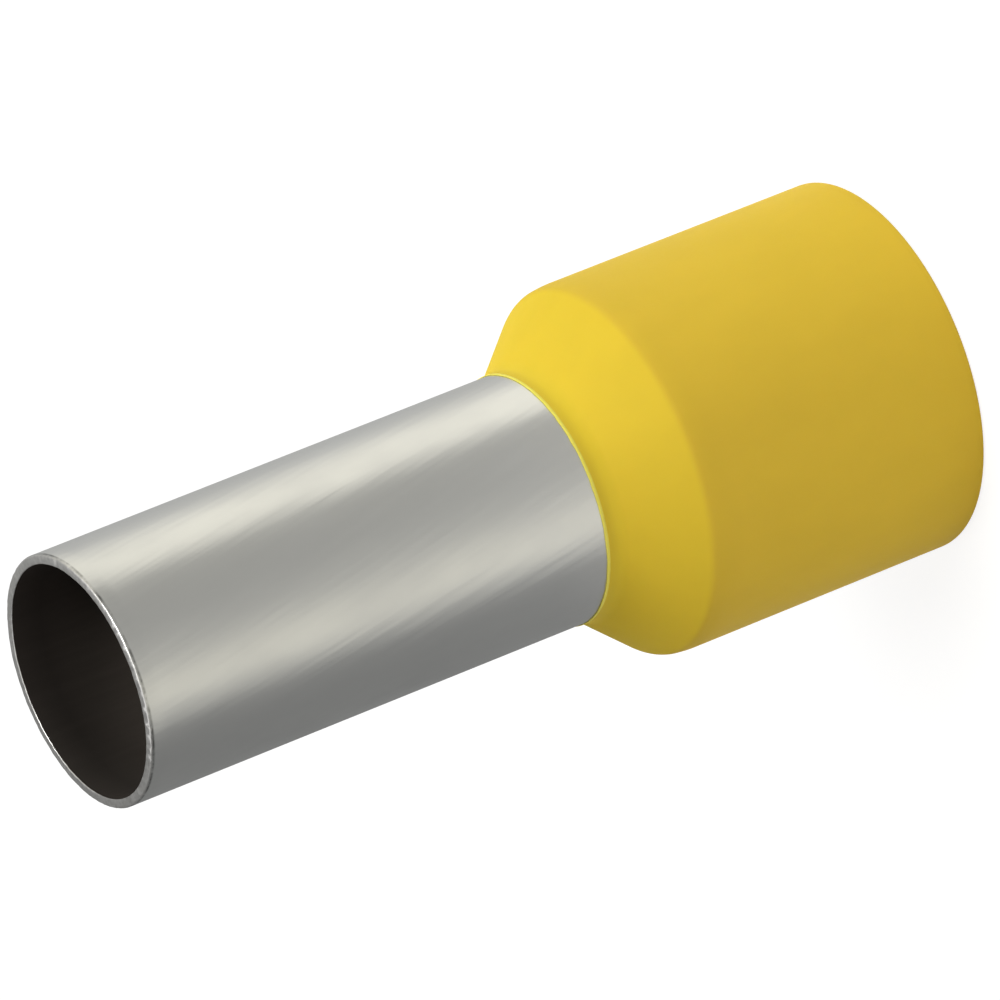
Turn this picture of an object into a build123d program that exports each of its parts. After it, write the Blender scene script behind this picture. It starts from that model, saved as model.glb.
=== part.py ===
from build123d import *
from math import atan2, cos, hypot, pi, radians, sin, tan
import os

# Insulated wire ferrule for a 25 square millimetre stranded conductor. All lengths are in millimetres.
# It stands on the collar's open mouth: Z is the common axis, and z = 0 is the plane of the mouth.

# Tinned copper sleeve
sleeve_bore = 7.3          # inside diameter, which the stripped strands fill
sleeve_wall = 0.3          # thickness of the drawn tube
exposed_length = 16.0      # bare tube that stands out of the collar and is crimped
cut_edge_round = 0.1       # outer edge of the cut end
bore_bevel = 0.08          # inner edge of the cut end, deburred
flare_margin = 0.3         # room between the flare's rim and the wall of the insulation bore

# Moulded insulating collar
collar_length = 12.4       # from the mouth to the lip on the sleeve
collar_wall = 0.75         # thickness of the barrel and of the cone, square to the surface
insulation_step = 1.15     # from the sleeve's outside to the wall of the insulation bore
cone_angle = 40.0          # degrees between the axis and the side of the cone, inside and out
neck_wall = 0.07           # thickness of the lip that closes on the sleeve
neck_length = 0.6          # from the lip's edge to where the cone begins
neck_fillet = 1.0          # hollow between neck and cone
shoulder_round = 0.9       # edge between cone and barrel
funnel_fillet = 0.4        # hollow between the insulation bore and the funnel
seat_round = 0.6           # edge of the funnel, round which the sleeve's flare bends
mouth_round = 0.15         # outer edge of the mouth
lead_in_bevel = 0.3        # inner edge of the mouth, which guides the insulation in

# Between the two pieces
seat_clearance = 0.01      # square to the surface, along the neck and the funnel

# Radii that both pieces share
sleeve_inner_radius = sleeve_bore / 2
sleeve_outer_radius = sleeve_inner_radius + sleeve_wall
hole_radius = sleeve_outer_radius + seat_clearance
neck_radius = hole_radius + neck_wall
insulation_radius = sleeve_outer_radius + insulation_step
barrel_radius = insulation_radius + collar_wall

# Heights along the axis
side_angle = radians(cone_angle)
slope = tan(side_angle)
overall_length = collar_length + exposed_length
cone_top = collar_length - neck_length
shoulder_height = cone_top - (barrel_radius - neck_radius) / slope
funnel_top = cone_top - (collar_wall / cos(side_angle) - neck_wall) / slope
funnel_bottom = funnel_top - (insulation_radius - hole_radius) / slope


def turned(corners):
    """Turn a closed outline of (radius, height, rounding) corners about Z.

    A rounding is cut down only where the two straights beside its corner are too short for it.
    """
    count = len(corners)
    lengths = []
    tangents = []
    for i, (r, z, rounding) in enumerate(corners):
        r_before, z_before, _ = corners[i - 1]
        r_after, z_after, _ = corners[(i + 1) % count]
        turn = atan2(z_after - z, r_after - r) - atan2(z - z_before, r - r_before)
        turn = abs((turn + pi) % (2 * pi) - pi)
        lengths.append(hypot(r_after - r, z_after - z))
        tangents.append(rounding * tan(turn / 2))

    room = []
    for i in range(count):
        wanted = tangents[i] + tangents[(i + 1) % count]
        room.append(min(1.0, 0.95 * lengths[i] / wanted) if wanted else 1.0)

    outline = Plane.XZ * make_face(Polyline([(r, z) for r, z, _ in corners], close=True))
    for i, (r, z, rounding) in enumerate(corners):
        if rounding:
            corner = outline.vertices().sort_by_distance((r, 0, z))[0]
            outline = fillet(corner, rounding * min(room[i - 1], room[i]))
    return revolve(outline, Axis.Z)


def metal_sleeve():
    """Straight tube, cut square at the top and flared at the bottom along the collar's funnel."""
    half_turn = tan(side_angle / 2)
    outer_bend = funnel_top - seat_clearance * half_turn
    inner_bend = outer_bend - sleeve_wall * half_turn
    outer_bend_radius = seat_round + seat_clearance
    inner_bend_radius = outer_bend_radius + sleeve_wall
    rim_radius = insulation_radius - flare_margin
    rim_height = outer_bend - (rim_radius - sleeve_outer_radius) / slope
    inner_rim_radius = rim_radius - sleeve_wall * cos(side_angle)
    inner_rim_height = rim_height - sleeve_wall * sin(side_angle)
    return turned([
        (sleeve_outer_radius, overall_length, cut_edge_round),
        (sleeve_outer_radius, outer_bend, outer_bend_radius),
        (rim_radius, rim_height, 0),
        (inner_rim_radius, inner_rim_height, 0),
        (sleeve_inner_radius, inner_bend, inner_bend_radius),
        (sleeve_inner_radius, overall_length - bore_bevel, 0),
        (sleeve_inner_radius + bore_bevel, overall_length, 0),
    ])


def plastic_collar():
    """Barrel round the wire's insulation, with a cone that closes on the sleeve and a funnel inside it."""
    return turned([
        (hole_radius, collar_length, 0),
        (neck_radius, collar_length, 0),
        (neck_radius, cone_top, neck_fillet),
        (barrel_radius, shoulder_height, shoulder_round),
        (barrel_radius, 0, mouth_round),
        (insulation_radius + lead_in_bevel, 0, 0),
        (insulation_radius, lead_in_bevel, 0),
        (insulation_radius, funnel_bottom, funnel_fillet),
        (hole_radius, funnel_top, seat_round),
    ])


pieces = {
    "metal_sleeve": metal_sleeve(),
    "plastic_collar": plastic_collar(),
}

os.makedirs("parts", exist_ok=True)
for name, piece in pieces.items():
    export_step(piece, f"parts/{name}.step")
    box = piece.bounding_box()
    print(f"{name}: {piece.volume:.2f} cubic mm, z from {box.min.Z:.3f} to {box.max.Z:.3f}")
print(f"insulation bore radius {insulation_radius:.3f}, funnel from {funnel_bottom:.3f} to {funnel_top:.3f}")
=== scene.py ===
import math

import bpy
import numpy as np
from mathutils import Matrix, Vector


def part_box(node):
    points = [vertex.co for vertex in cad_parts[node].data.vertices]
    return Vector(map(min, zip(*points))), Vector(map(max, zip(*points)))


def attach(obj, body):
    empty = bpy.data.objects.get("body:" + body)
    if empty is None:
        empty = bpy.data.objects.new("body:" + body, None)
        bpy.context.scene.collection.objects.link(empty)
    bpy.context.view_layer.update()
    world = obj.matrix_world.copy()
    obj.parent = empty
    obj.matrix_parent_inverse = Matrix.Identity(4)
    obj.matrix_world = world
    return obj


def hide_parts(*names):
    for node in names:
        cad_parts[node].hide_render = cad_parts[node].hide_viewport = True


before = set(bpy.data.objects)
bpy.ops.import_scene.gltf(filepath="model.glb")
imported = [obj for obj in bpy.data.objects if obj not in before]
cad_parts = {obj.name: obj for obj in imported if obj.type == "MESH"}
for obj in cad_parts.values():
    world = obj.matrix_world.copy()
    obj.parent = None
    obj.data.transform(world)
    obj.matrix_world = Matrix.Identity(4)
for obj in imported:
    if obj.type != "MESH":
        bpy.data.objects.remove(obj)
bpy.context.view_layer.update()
mm = 0.001      # metres in a millimetre
scene = bpy.context.scene
scene.view_settings.view_transform = "Standard"
sleeveLow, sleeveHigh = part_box("metal_sleeve")
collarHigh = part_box("plastic_collar")[1]
random = np.random.default_rng(seed=7)


# Shapes

def cornerArc(before, corner, after, rounding, steps):
    # Arc of the given radius, tangent to both sides of the corner. Its centre lies on the bisector,
    # rounding / sin(half the corner's angle) from the corner.
    toBefore = (before - corner) / np.linalg.norm(before - corner)
    toAfter = (after - corner) / np.linalg.norm(after - corner)
    half = math.acos(np.clip(toBefore @ toAfter, -1, 1)) / 2
    bisector = (toBefore + toAfter) / np.linalg.norm(toBefore + toAfter)
    centre = corner + bisector * rounding / math.sin(half)
    start = corner + toBefore * rounding / math.tan(half) - centre
    end = corner + toAfter * rounding / math.tan(half) - centre
    first = math.atan2(start[1], start[0])
    sweep = (math.atan2(end[1], end[0]) - first + math.pi) % (2 * math.pi) - math.pi
    turn = first + sweep * np.linspace(0, 1, steps + 1)
    return centre + rounding * np.column_stack([np.cos(turn), np.sin(turn)])


def roundedLoop(corners, longestStep):
    # Closed outline through (radius, height, rounding, steps) corners, in millimetres. Rounded corners
    # become arcs. Each side is then divided evenly into pieces no longer than longestStep: a point lies at
    # start + (end - start) x its number / the number of pieces.
    flat = [np.array(corner[:2], float) for corner in corners]
    arcs = []
    for i, (_, _, rounding, steps) in enumerate(corners):
        after = flat[(i + 1) % len(flat)]
        arcs.append(cornerArc(flat[i - 1], flat[i], after, rounding, steps) if rounding else flat[i][None])
    points = np.concatenate(arcs)
    side = np.roll(points, -1, axis=0) - points
    pieces = np.maximum(1, np.ceil(np.linalg.norm(side, axis=1) / longestStep)).astype(int)
    start = np.repeat(np.arange(len(points)), pieces)
    number = np.arange(len(start)) - np.repeat(np.cumsum(pieces) - pieces, pieces)
    return points[start] + side[start] * (number / pieces[start])[:, None]


def turnedGrid(loop, segments):
    # The outline carried round Z: point (r, z) at angle t lies at (r cos t, r sin t, z).
    # Returns the points by outline and angle, as an array of rows x segments x 3, and the angles.
    turn = np.arange(segments) * 2 * math.pi / segments
    radius, height = loop[:, 0:1], loop[:, 1:2]
    return np.stack([radius * np.cos(turn), radius * np.sin(turn), height + 0 * turn], axis=-1), turn


def gridMesh(name, grid, closed):
    # A grid of points that closes on itself along its rows becomes a mesh of quads. Where closed is true its
    # last row meets the first too, so the mesh has no seam and no pole.
    rows, columns = grid.shape[:2]
    index = np.arange(rows * columns).reshape(rows, columns)
    above = np.roll(index, -1, axis=0)
    quads = np.stack([index, np.roll(index, -1, axis=1), np.roll(above, -1, axis=1), above], axis=-1)
    if not closed:
        quads = quads[:-1]
    mesh = bpy.data.meshes.new(name)
    mesh.vertices.add(rows * columns)
    mesh.vertices.foreach_set("co", (grid * mm).astype(np.float32).ravel())
    mesh.loops.add(quads.size)
    mesh.loops.foreach_set("vertex_index", quads.astype(np.int32).ravel())
    mesh.polygons.add(quads.size // 4)
    mesh.polygons.foreach_set("loop_start", np.arange(0, quads.size, 4, dtype=np.int32))
    mesh.polygons.foreach_set("use_smooth", np.ones(quads.size // 4, bool))
    mesh.update(calc_edges=True)
    mesh.validate()
    made = bpy.data.objects.new(name, mesh)
    scene.collection.objects.link(made)
    return made


def gridPiece(name, grid):
    # A closed grid as a piece of the object, on its one body.
    piece = gridMesh(name, grid, closed=True)
    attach(piece, "root")
    return piece


def unevenRing(turn, fewest, most, height):
    # A closed, uneven line round the piece: the sum of sines of fewest, fewest + 1 and so on up to most - 1
    # waves, each with its own phase and a size of 1 / the root of its number, scaled to run from 0 to height.
    waves = np.arange(fewest, most)
    phase = random.uniform(0, 2 * math.pi, len(waves))
    size = 1 / np.sqrt(waves)
    line = (size[:, None] * np.sin(np.outer(waves, turn) + phase[:, None])).sum(axis=0)
    return height * (line - line.min()) / (line.max() - line.min())


# Material helpers

class Surface:
    # A material's node tree with the few moves that the finishes below need.
    def __init__(self, name):
        self.material = bpy.data.materials.new(name)
        self.material.use_nodes = True
        self.tree = self.material.node_tree

    def put(self, value, socket):
        # A socket takes the output of another node, or a plain value.
        if isinstance(value, bpy.types.NodeSocket):
            self.tree.links.new(value, socket)
        else:
            socket.default_value = value

    def node(self, kind, inputs=None, **settings):
        # A node of the kind, its settings and what its sockets take.
        made = self.tree.nodes.new("ShaderNode" + kind)
        for key, value in settings.items():
            setattr(made, key, value)
        for key, value in (inputs or {}).items():
            self.put(value, made.inputs[key])
        return made

    def maths(self, operation, *terms):
        # One step of arithmetic.
        return self.node("Math", dict(enumerate(terms)), operation=operation).outputs[0]

    def place(self):
        # Where a point lies on the object, in metres.
        return self.node("TexCoord").outputs["Object"]

    def height(self):
        # Height above the floor, in metres.
        return self.node("SeparateXYZ", {"Vector": self.place()}).outputs["Z"]

    def grain(self, scale, detail=2.0, roughness=0.5, twist=0.0):
        # Noise on Object coordinates. The scale is in patches per millimetre along X, Y and Z. Twist turns
        # the pattern round Z by that many radians per millimetre of height, so that lines along Z lean.
        place = self.place()
        if twist:
            angle = self.maths("MULTIPLY", self.height(), twist / mm)
            turned = self.node("VectorRotate", {"Vector": place, "Angle": angle}, rotation_type="Z_AXIS")
            place = turned.outputs[0]
        stretched = self.node("Mapping", {"Vector": place, "Scale": [s / mm for s in scale]})
        noise = self.node("TexNoise", {"Vector": stretched.outputs[0], "Scale": 1.0, "Detail": detail,
                                       "Roughness": roughness})
        return noise.outputs["Fac"]

    def ranged(self, value, low, high, start=0.3, end=0.7):
        # Carries start..end of the value over to low..high. Noise lies mostly within 0.3..0.7.
        made = self.node("MapRange", {"Value": value, "From Min": start, "From Max": end,
                                      "To Min": low, "To Max": high})
        return made.outputs["Result"]

    def blended(self, share, first, second):
        # First x (1 - share) + second x share.
        made = self.node("Mix", data_type="RGBA")
        self.put(share, made.inputs["Factor"])
        self.put(first, made.inputs["A"])
        self.put(second, made.inputs["B"])
        return made.outputs["Result"]

    def shaded(self, colour, value):
        # The colour times the value.
        return self.node("HueSaturation", {"Color": colour, "Value": value}).outputs[0]

    def bumped(self, height, depth, under=None):
        # Relief whose height runs from 0 to depth millimetres, on top of another one.
        made = self.node("Bump", {"Height": height, "Distance": depth * mm, "Strength": 1.0})
        if under is not None:
            self.put(under, made.inputs["Normal"])
        return made.outputs["Normal"]

    def finished(self, inputs):
        # The material, with its shader's own sockets set.
        shader = self.tree.nodes["Principled BSDF"]
        for name, value in inputs.items():
            self.put(value, shader.inputs[name])
        return self.material


# Sleeve. Lengths are in millimetres, and scales in patches per millimetre.

sleeve = {
    "boreRadius": 3.65,
    "wall": 0.30,
    "edgeRound": 0.07,                # outer edge of the cut end
    "boreRound": 0.03,                # inner edge of the cut end
    "edgeUnevenness": 0.02,           # in height
    "edgeWaves": (3, 90),             # round the tube, from fewest to most
    "edgeReach": 0.4,                 # how far down the unevenness goes
    "edgeNicks": 0.015,               # how deep they go into the outer edge
    "nickWaves": (30, 200),
    "edgeBand": 0.05,                 # faces this near the cut end or the inside radius take its finish
    "flareAngle": 40.0,               # degrees from the axis
    "bendHeight": 10.71,              # where the outside turns into the flare
    "bendRound": 0.6,
    "segments": 512,
    "longestStep": 0.6,
    # Tin plate
    "light": (0.72, 0.72, 0.705, 1),
    "dull": (0.67, 0.67, 0.66, 1),
    "roughness": (0.28, 0.34),
    "roughSpan": (0.1, 0.5),          # lines times clouds at which the roughness is lowest and highest
    "lineScale": (4.5, 4.5, 0.3),     # drawing lines run along the axis
    "lineTwist": 0.05,                # and lean a little round it
    "lineDepth": 0.007,
    "waveScale": (1.6, 1.6, 0.3),     # the tube's slight waviness
    "waveDepth": 0.008,
    "cloudScale": (0.55, 0.55, 0.3),
    "cloudShift": 0.2,                # what the clouds take from or add to the product
    # Cut end
    "edge": (0.60, 0.59, 0.57, 1),
    "edgeScratch": (0.72, 0.71, 0.69, 1),
    "edgeRoughness": (0.28, 0.38),
    "markScale": (9, 9, 9),
    "markDepth": 0.002,
    "shadeLineColour": (0.02, 0.02, 0.018, 1),  # painted shade: a dark line just under the cut edge, standing in for the shade under its burr
    "shadeLineHeight": 28.315,
    "shadeLineWidth": 0.06,
    "shadeLineDarkness": 0.85,
    "shadeLineFaintest": 0.15,            # share of the line where it is broken
    "shadeLineScale": (0.9, 0.9, 0.9),
    "shadeLineSpan": (0.38, 0.56),        # noise at which the line is broken and whole
    # Bore: painted shade, so the inside of the tube reads dark
    "boreMouthShade": (0.034, 0.029, 0.025, 1),
    "boreDeepShade": (0.110, 0.093, 0.080, 1),
    "boreHeights": (24.5, 27.4),      # where it is deep, and where it is all mouth
    "boreLines": (0.95, 1.05),
    "boreRoughness": (0.6, 0.7),
    "boreGloss": 0.1,
}


def paintedShadeLine(surface, values, colour):
    # Painted shade: darkens a colour in a narrow band round the tube, just under the cut edge: the darkness
    # at the band's middle, 0 at its width on either side, times a noise that breaks the line up.
    above = surface.maths("SUBTRACT", surface.height(), values["shadeLineHeight"] * mm)
    distance = surface.maths("ABSOLUTE", above)
    band = surface.ranged(distance, values["shadeLineDarkness"], 0, start=0, end=values["shadeLineWidth"] * mm)
    breaks = surface.grain(values["shadeLineScale"], detail=4, roughness=0.7)
    start, end = values["shadeLineSpan"]
    whole = surface.ranged(breaks, values["shadeLineFaintest"], 1, start=start, end=end)
    return surface.blended(surface.maths("MULTIPLY", band, whole), colour, values["shadeLineColour"])


def tinPlate(values):
    # Satin tin: fine lines along the axis from drawing the tube, and a slow cloudiness from the plating. The
    # roughness follows lines x clouds + the clouds' own shift.
    surface = Surface("tinPlate")
    lines = surface.grain(values["lineScale"], detail=1, roughness=0.4, twist=values["lineTwist"])
    clouds = surface.grain(values["cloudScale"], detail=3)
    shift = surface.ranged(clouds, -values["cloudShift"], values["cloudShift"])
    mixed = surface.maths("MULTIPLY_ADD", lines, clouds, shift)
    start, end = values["roughSpan"]
    tin = surface.blended(surface.ranged(clouds, 0, 1), values["light"], values["dull"])
    waves = surface.bumped(surface.grain(values["waveScale"], twist=values["lineTwist"]), values["waveDepth"])
    return surface.finished({
        # The tin's colour carries the painted shade line under the cut edge.
        "Base Color": paintedShadeLine(surface, values, tin),
        "Roughness": surface.ranged(mixed, *values["roughness"], start=start, end=end),
        "Normal": surface.bumped(lines, values["lineDepth"], under=waves),
        "Metallic": 1.0,
    })


def cutEdge(values):
    # Sheared end of the tube: duller than the plating, with short marks across the wall.
    surface = Surface("cutEdge")
    marks = surface.grain(values["markScale"], detail=3)
    cut = surface.blended(surface.ranged(marks, 0, 1), values["edge"], values["edgeScratch"])
    return surface.finished({
        # The cut edge's colour carries the painted shade line too.
        "Base Color": paintedShadeLine(surface, values, cut),
        "Roughness": surface.ranged(marks, *values["edgeRoughness"]),
        "Normal": surface.bumped(marks, values["markDepth"]),
        "Metallic": 1.0,
    })


def paintedBoreShade(values):
    # Inside wall painted almost black as shade: painted darker still near the mouth, where the light reaches
    # it, and lighter deep down, with faint lines.
    surface = Surface("paintedBoreShade")
    low, high = (h * mm for h in values["boreHeights"])
    nearMouth = surface.ranged(surface.height(), 0, 1, start=low, end=high)
    # Painted shade: the bore's colour runs from its lighter deep part to its darker mouth.
    wall = surface.blended(nearMouth, values["boreDeepShade"], values["boreMouthShade"])
    lines = surface.grain(values["lineScale"])
    return surface.finished({
        "Base Color": surface.shaded(wall, surface.ranged(lines, *values["boreLines"])),
        "Roughness": surface.ranged(lines, *values["boreRoughness"]),
        "Specular IOR Level": values["boreGloss"],
    })


def makeSleeve(values):
    # Tube turned from its outline: down the bore, out along the flare, back to the tube and up its outside.
    # Each corner below gives radius, height, rounding and the steps of its arc.
    inner = values["boreRadius"]
    outer = inner + values["wall"]
    top = sleeveHigh.z / mm
    rimLow = sleeveLow.z / mm
    rimRadius = sleeveHigh.x / mm
    lean = math.radians(values["flareAngle"])
    innerRim = rimRadius - values["wall"] * math.cos(lean)
    innerBend = values["bendHeight"] - values["wall"] * math.tan(lean / 2)
    loop = roundedLoop([
        (inner, top, values["boreRound"], 8),
        (inner, innerBend, values["bendRound"] + values["wall"], 12),
        (innerRim, rimLow, 0, 0),
        (rimRadius, rimLow + values["wall"] * math.sin(lean), 0, 0),
        (outer, values["bendHeight"], values["bendRound"], 10),
        (outer, top, values["edgeRound"], 10),
    ], values["longestStep"])
    radius, height = loop.T
    grid, turn = turnedGrid(loop, values["segments"])
    # The cut end is a little uneven in height, which fades out with the square of the way down, and its outer
    # edge has small nicks.
    nearEdge = np.clip((height - top + values["edgeReach"]) / values["edgeReach"], 0, 1)[:, None] ** 2
    grid[:, :, 2] -= nearEdge * unevenRing(turn, *values["edgeWaves"], values["edgeUnevenness"])
    outerEdge = ((height > top - values["edgeRound"]) & (radius > outer - values["edgeRound"]))[:, None]
    nicks = outerEdge * unevenRing(turn, *values["nickWaves"], values["edgeNicks"])
    grid[:, :, :2] *= (1 - nicks / outer)[:, :, None]
    piece = gridPiece("tinned_sleeve", grid)
    # A face's finish goes by the middle of its side of the outline: 0 tin plate, 1 cut edge, 2 bore, painted
    # dark as shade.
    middleRadius, middleHeight = ((loop + np.roll(loop, -1, axis=0)) / 2).T
    isEdge = middleHeight > top - values["edgeBand"]
    isBore = (middleRadius < inner + values["edgeBand"]) & ~isEdge
    kind = np.repeat(np.where(isEdge, 1, np.where(isBore, 2, 0)), values["segments"])
    for material in (tinPlate(values), cutEdge(values), paintedBoreShade(values)):
        piece.data.materials.append(material)
    piece.data.polygons.foreach_set("material_index", kind.astype(np.int32))
    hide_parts("metal_sleeve")
    return piece


sleevePiece = makeSleeve(sleeve)
print("sleeve made,", len(sleevePiece.data.polygons), "faces")


# Collar. Lengths are in millimetres, and scales in patches per millimetre.

collar = {
    "holeRadius": 3.96,
    "lipRadius": 3.985,
    "lipHeight": 0.12,
    "lipSlope": 0.02,                 # height of its sloping underside
    "lipRound": 0.02,
    "lipUnevenness": 0.03,            # in height
    "lipWaves": (3, 70),
    "grooveRadius": 3.972,
    "insulationRadius": 5.10,
    "leadIn": 0.30,
    "funnelBottom": 9.358,
    "funnelTop": 10.717,
    "coneTop": 11.88,
    "edgeRadius": 5.80,               # the cone ends at this edge, and a softer one leads on to the barrel
    "edgeHeight": 9.79,
    "barrelTop": 9.35,
    "seatRound": 0.6,
    "funnelRound": 0.4,
    "mouthRound": 0.15,
    "edgeRound": 0.45,
    "shoulderRound": 3.0,
    "neckRound": 0.85,
    "segments": 512,
    "longestStep": 0.6,
    # Painted light and shade by height: the barrel, painted a little darker towards the shoulder as shade at
    # the crease, the cone painted lighter as if lit from above, the neck painted lighter over its shaded
    # hollow, and the lip painted pale as a highlight.
    "paintedLightTones": [(2.0, (0.73, 0.500, 0.041)), (8.6, (0.715, 0.487, 0.040)), (9.76, (0.69, 0.471, 0.038)),
              (9.92, (0.745, 0.532, 0.035)), (11.7, (0.745, 0.532, 0.035)), (11.95, (0.77, 0.55, 0.035)),
              (12.26, (0.75, 0.54, 0.035)), (12.30, (0.86, 0.75, 0.12))],
    "cloudDepth": 0.03,               # how much darker the flow's clouds are
    "cloudScale": (0.8, 0.8, 0.45),
    "roughness": (0.60, 0.72),
    "gloss": 0.12,
    "grainScale": (14, 14, 14),
    "grainDepth": 0.0006,
    "glow": 0.12,                     # share of light that goes through the skin
    "glowDepth": 0.6,
    "glowColour": (1.0, 0.6, 0.1),
}


def toneByHeight(surface, paintedLightTones):
    # Colour that runs straight from tone to tone with the height.
    heights = [h for h, _ in paintedLightTones]
    low, high = heights[0], heights[-1]
    share = surface.ranged(surface.height(), 0, 1, start=low * mm, end=high * mm)
    ramp = surface.node("ValToRGB", {"Fac": share})
    for _ in range(len(paintedLightTones) - len(ramp.color_ramp.elements)):
        ramp.color_ramp.elements.new(0.5)
    for element, (h, tone) in zip(ramp.color_ramp.elements, paintedLightTones):
        element.position = (h - low) / (high - low)
        element.color = (*tone, 1)
    return ramp.outputs["Color"]


def yellowPlastic(values):
    # Moulded polypropylene: painted light and shade by height, slow changes of tone from the flow, a fine
    # eroded grain, and a little depth.
    surface = Surface("yellowPlastic")
    clouds = surface.grain(values["cloudScale"], detail=3)
    grain = surface.grain(values["grainScale"], detail=3, roughness=0.6)
    flow = surface.ranged(clouds, 1 - values["cloudDepth"], 1)
    return surface.finished({
        # The base colour is painted light and shade by height, times the flow's random clouds.
        "Base Color": surface.shaded(toneByHeight(surface, values["paintedLightTones"]), flow),
        "Roughness": surface.ranged(grain, *values["roughness"]),
        "Specular IOR Level": values["gloss"],
        "Normal": surface.bumped(grain, values["grainDepth"]),
        "Subsurface Weight": values["glow"],
        "Subsurface Radius": values["glowColour"],
        "Subsurface Scale": values["glowDepth"] * mm,
    })


def makeCollar(values):
    # Collar turned from its outline: down the hole and the funnel, out at the mouth, up the barrel and the
    # cone, and over the groove and the lip. Each corner gives radius, height, rounding and steps.
    top = collarHigh.z / mm
    barrel = collarHigh.x / mm
    bore = values["insulationRadius"]
    lipLow = top - values["lipHeight"]
    loop = roundedLoop([
        (values["holeRadius"], top, 0, 0),
        (values["holeRadius"], values["funnelTop"], values["seatRound"], 10),
        (bore, values["funnelBottom"], values["funnelRound"], 8),
        (bore, values["leadIn"], 0, 0),
        (bore + values["leadIn"], 0, 0, 0),
        (barrel, 0, values["mouthRound"], 8),
        (barrel, values["barrelTop"], values["shoulderRound"], 10),
        (values["edgeRadius"], values["edgeHeight"], values["edgeRound"], 8),
        (values["grooveRadius"], values["coneTop"], values["neckRound"], 10),
        (values["grooveRadius"], lipLow, values["lipSlope"] / 2, 3),
        (values["lipRadius"], lipLow + values["lipSlope"], values["lipRound"], 6),
        (values["lipRadius"], top, values["lipRound"], 6),
    ], values["longestStep"])
    grid, turn = turnedGrid(loop, values["segments"])
    # The lip's edge is a little uneven in height.
    atLip = (loop[:, 1] > top - values["lipHeight"] / 2)[:, None]
    grid[:, :, 2] -= atLip * unevenRing(turn, *values["lipWaves"], values["lipUnevenness"])
    piece = gridPiece("moulded_collar", grid)
    piece.data.materials.append(yellowPlastic(values))
    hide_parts("plastic_collar")
    return piece


collarPiece = makeCollar(collar)
print("collar made,", len(collarPiece.data.polygons), "faces")


# Floor and air

studio = {
    "floorHalfSide": 4.0,    # metres
    "floorBounce": 0.8,      # how pale the floor is to the light that it throws back
    "floorGlow": 0.86,       # the floor as seen is this glow plus its own lit colour, so it keeps a shadow
    "floorLit": 0.24,
    "air": 0.04,             # light from all round
    "lampDistance": 0.6,     # metres
    "lampSize": 0.3,         # metres
}


def seenDirectly(tree):
    # 1 for camera, reflection and transmission rays, 0 for the light that the object receives.
    path = tree.nodes.new("ShaderNodeLightPath")
    seen = path.outputs["Is Camera Ray"]
    for kind in ("Is Glossy Ray", "Is Transmission Ray"):
        either = tree.nodes.new("ShaderNodeMath")
        either.operation = "MAXIMUM"
        tree.links.new(seen, either.inputs[0])
        tree.links.new(path.outputs[kind], either.inputs[1])
        seen = either.outputs[0]
    return seen


def makeFloor(values):
    # Flat square at the height of the object's foot.
    side = values["floorHalfSide"]
    corners = [(-side, -side, 0), (side, -side, 0), (side, side, 0), (-side, side, 0)]
    mesh = bpy.data.meshes.new("floor")
    mesh.from_pydata(corners, [], [(0, 1, 2, 3)])
    floor = bpy.data.objects.new("floor", mesh)
    scene.collection.objects.link(floor)
    material = bpy.data.materials.new("paleFloor")
    material.use_nodes = True
    tree = material.node_tree
    tree.nodes.clear()
    bounce = tree.nodes.new("ShaderNodeBsdfDiffuse")
    bounce.inputs["Color"].default_value = [values["floorBounce"]] * 3 + [1]
    lit = tree.nodes.new("ShaderNodeBsdfDiffuse")
    lit.inputs["Color"].default_value = [values["floorLit"]] * 3 + [1]
    glow = tree.nodes.new("ShaderNodeEmission")
    glow.inputs["Strength"].default_value = values["floorGlow"]
    seen = tree.nodes.new("ShaderNodeAddShader")
    tree.links.new(lit.outputs[0], seen.inputs[0])
    tree.links.new(glow.outputs[0], seen.inputs[1])
    choice = tree.nodes.new("ShaderNodeMixShader")
    tree.links.new(seenDirectly(tree), choice.inputs["Fac"])
    tree.links.new(bounce.outputs[0], choice.inputs[1])
    tree.links.new(seen.outputs[0], choice.inputs[2])
    output = tree.nodes.new("ShaderNodeOutputMaterial")
    tree.links.new(choice.outputs[0], output.inputs["Surface"])
    mesh.materials.append(material)


def makeAir(values):
    # White where it is seen or mirrored, and dim where it lights.
    world = bpy.data.worlds.new("studioAir")
    scene.world = world
    world.use_nodes = True
    tree = world.node_tree
    background = tree.nodes["Background"]
    background.inputs["Color"].default_value = (1, 1, 1, 1)
    strength = tree.nodes.new("ShaderNodeMapRange")
    tree.links.new(seenDirectly(tree), strength.inputs["Value"])
    strength.inputs["To Min"].default_value = values["air"]
    strength.inputs["To Max"].default_value = 1.0
    tree.links.new(strength.outputs["Result"], background.inputs["Strength"])


makeFloor(studio)
makeAir(studio)

# Lamps. Azimuth 0 is the camera's side and 90 is +X, in degrees; power is in watts. Only one of them shows in
# reflections.
lamps = {
    "keySoftbox": {"azimuth": 45, "elevation": 62, "power": 1.82, "colour": (1, 1, 0.97)},
    "topSoftbox": {"azimuth": 90, "elevation": 70, "power": 0.85, "colour": (1, 1, 1)},
    "sideSoftbox": {"azimuth": 90, "elevation": 10, "power": 1.66, "colour": (0.97, 1, 1)},
    "fillSoftbox": {"azimuth": 325, "elevation": 10, "power": 1.08, "colour": (1, 0.95, 0.95)},
    "backSoftbox": {"azimuth": 190, "elevation": 25, "power": 1.25, "colour": (1, 1, 1)},
}
mirroredLamp = "keySoftbox"
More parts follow.
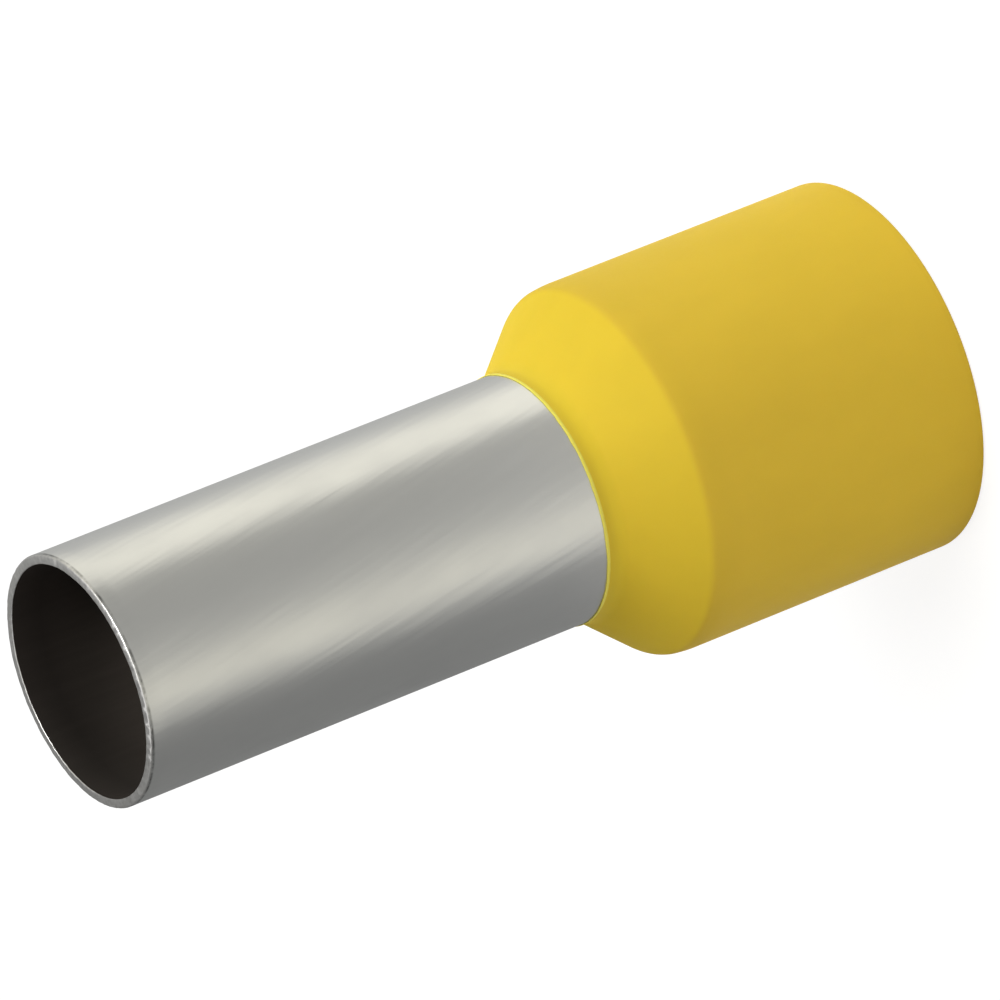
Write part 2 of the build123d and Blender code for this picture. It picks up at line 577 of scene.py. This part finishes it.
# A paper ring stands round the object and shows only in its reflections. Its stops are azimuth, brightness
# and the share of blue that is left: warm and bright on the key and fill sides, cool and dark between them.
paperRing = {
    "radius": 21.0,      # millimetres
    "height": 52.0,
    "segments": 180,
    "rows": 5,
    "footGain": 0.26,    # how much brighter it is at the floor than at the top
    "evenHeight": 0.6,   # share of its height at which the stops hold
    "green": 1.01,       # share of green where no blue is missing
    "greenLoss": 0.25,   # part of the missing blue that green misses too
    "stops": [(0, 0.48, 0.94), (22, 0.41, 0.95), (61, 0.41, 0.94), (73, 1.05, 0.88), (98, 1.02, 0.88),
              (122, 0.55, 0.98), (150, 0.45, 1.0), (180, 0.26, 1.0), (200, 0.23, 1.0), (296, 0.23, 1.0),
              (322, 0.80, 0.88), (335, 0.74, 0.88)],
}


def softbox(name, values):
    # Round soft lamp that looks at the object's foot from its azimuth and elevation.
    data = bpy.data.lights.new(name, "AREA")
    data.shape = "DISK"
    data.size = studio["lampSize"]
    data.energy = values["power"]
    data.color = values["colour"]
    lamp = bpy.data.objects.new(name, data)
    scene.collection.objects.link(lamp)
    turn = math.radians(values["azimuth"])
    rise = math.radians(values["elevation"])
    direction = Vector((math.sin(turn) * math.cos(rise), -math.cos(turn) * math.cos(rise), math.sin(rise)))
    lamp.location = direction * studio["lampDistance"]
    lamp.rotation_mode = "QUATERNION"
    lamp.rotation_quaternion = direction.to_track_quat("Z", "Y")
    lamp.visible_glossy = name == mirroredLamp


def makePaperRing(values):
    # Upright cylinder: point (radius sin a, -radius cos a, h) at azimuth a and height h. Brightness at a runs
    # straight from stop to stop, and is 1 + footGain (evenHeight - h / height) times that.
    azimuth = np.arange(values["segments"]) * 360 / values["segments"]
    turn = np.radians(azimuth)
    height = np.linspace(0, values["height"], values["rows"])[:, None]
    x, y = values["radius"] * np.sin(turn), -values["radius"] * np.cos(turn)
    ring = gridMesh("paperRing", np.stack(np.broadcast_arrays(x, y, height), axis=-1), closed=False)
    for kind in ("camera", "diffuse", "transmission", "shadow"):
        setattr(ring, "visible_" + kind, False)
    at, bright, blue = np.array(values["stops"]).T
    gain = 1 + values["footGain"] * (values["evenHeight"] - height / values["height"])
    level = np.interp(azimuth, at, bright, period=360) * gain
    blueShare = np.interp(azimuth, at, blue, period=360) + 0 * height
    greenShare = values["green"] - values["greenLoss"] * (1 - blueShare)
    glow = np.stack([level, level * greenShare, level * blueShare, np.ones_like(level)], axis=-1)
    painted = ring.data.attributes.new("glow", "FLOAT_COLOR", "POINT")
    painted.data.foreach_set("color", glow.astype(np.float32).ravel())
    material = bpy.data.materials.new("paperRing")
    material.use_nodes = True
    tree = material.node_tree
    tree.nodes.clear()
    paint = tree.nodes.new("ShaderNodeAttribute")
    paint.attribute_name = "glow"
    emission = tree.nodes.new("ShaderNodeEmission")
    tree.links.new(paint.outputs["Color"], emission.inputs["Color"])
    output = tree.nodes.new("ShaderNodeOutputMaterial")
    tree.links.new(emission.outputs[0], output.inputs["Surface"])
    ring.data.materials.append(material)


for name, values in lamps.items():
    softbox(name, values)
makePaperRing(paperRing)
print("studio made,", len(lamps), "lamps and a paper ring")


# Camera

picture = {
    "elevation": 26.76,            # degrees that the camera looks down
    "roll": -21.72,                # degrees from the picture's right to the object's axis
    "endPixel": (78.04, 682.16),   # where the centre of the sleeve's cut end lies
    "pixelsPerRadius": 135.20,     # the sleeve's outside radius, at the cut end
    "closeness": 0.0097,           # that radius over the distance to the cut end
    "side": 1000,                  # pixels
    "sensor": 36,                  # millimetres
    "nearest": 0.05,               # what the camera can see, as shares of its distance
    "farthest": 50,
}


def aimCamera(values):
    # The camera's directions follow from how far it looks down and from the axis's angle on the picture.
    # The cut end's centre then fixes its place: offset in pixels / focal length in pixels x distance.
    distance = (sleeve["boreRadius"] + sleeve["wall"]) * mm / values["closeness"]
    focalPixels = values["pixelsPerRadius"] / values["closeness"]
    down = math.radians(values["elevation"])
    forward = Vector((0, math.cos(down), -math.sin(down)))
    axis = Vector((0, 0, -1))
    along = (axis - forward * axis.dot(forward)).normalized()
    across = forward.cross(along)
    roll = math.radians(values["roll"])
    right = math.cos(roll) * along - math.sin(roll) * across
    lower = math.sin(roll) * along + math.cos(roll) * across
    x, y = (p - values["side"] / 2 for p in values["endPixel"])
    endPoint = Vector((0, 0, sleeveHigh.z))
    place = endPoint - distance * (forward + (right * x + lower * y) / focalPixels)
    data = bpy.data.cameras.new("camera")
    data.sensor_width = values["sensor"]
    data.lens = focalPixels * values["sensor"] / values["side"]
    data.clip_start = distance * values["nearest"]
    data.clip_end = distance * values["farthest"]
    camera = bpy.data.objects.new("camera", data)
    scene.collection.objects.link(camera)
    turned = Matrix((right, -lower, -forward)).transposed().to_4x4()
    camera.matrix_world = Matrix.Translation(place) @ turned
    scene.camera = camera
    return data.lens


print("camera made, lens", round(aimCamera(picture), 1), "mm")
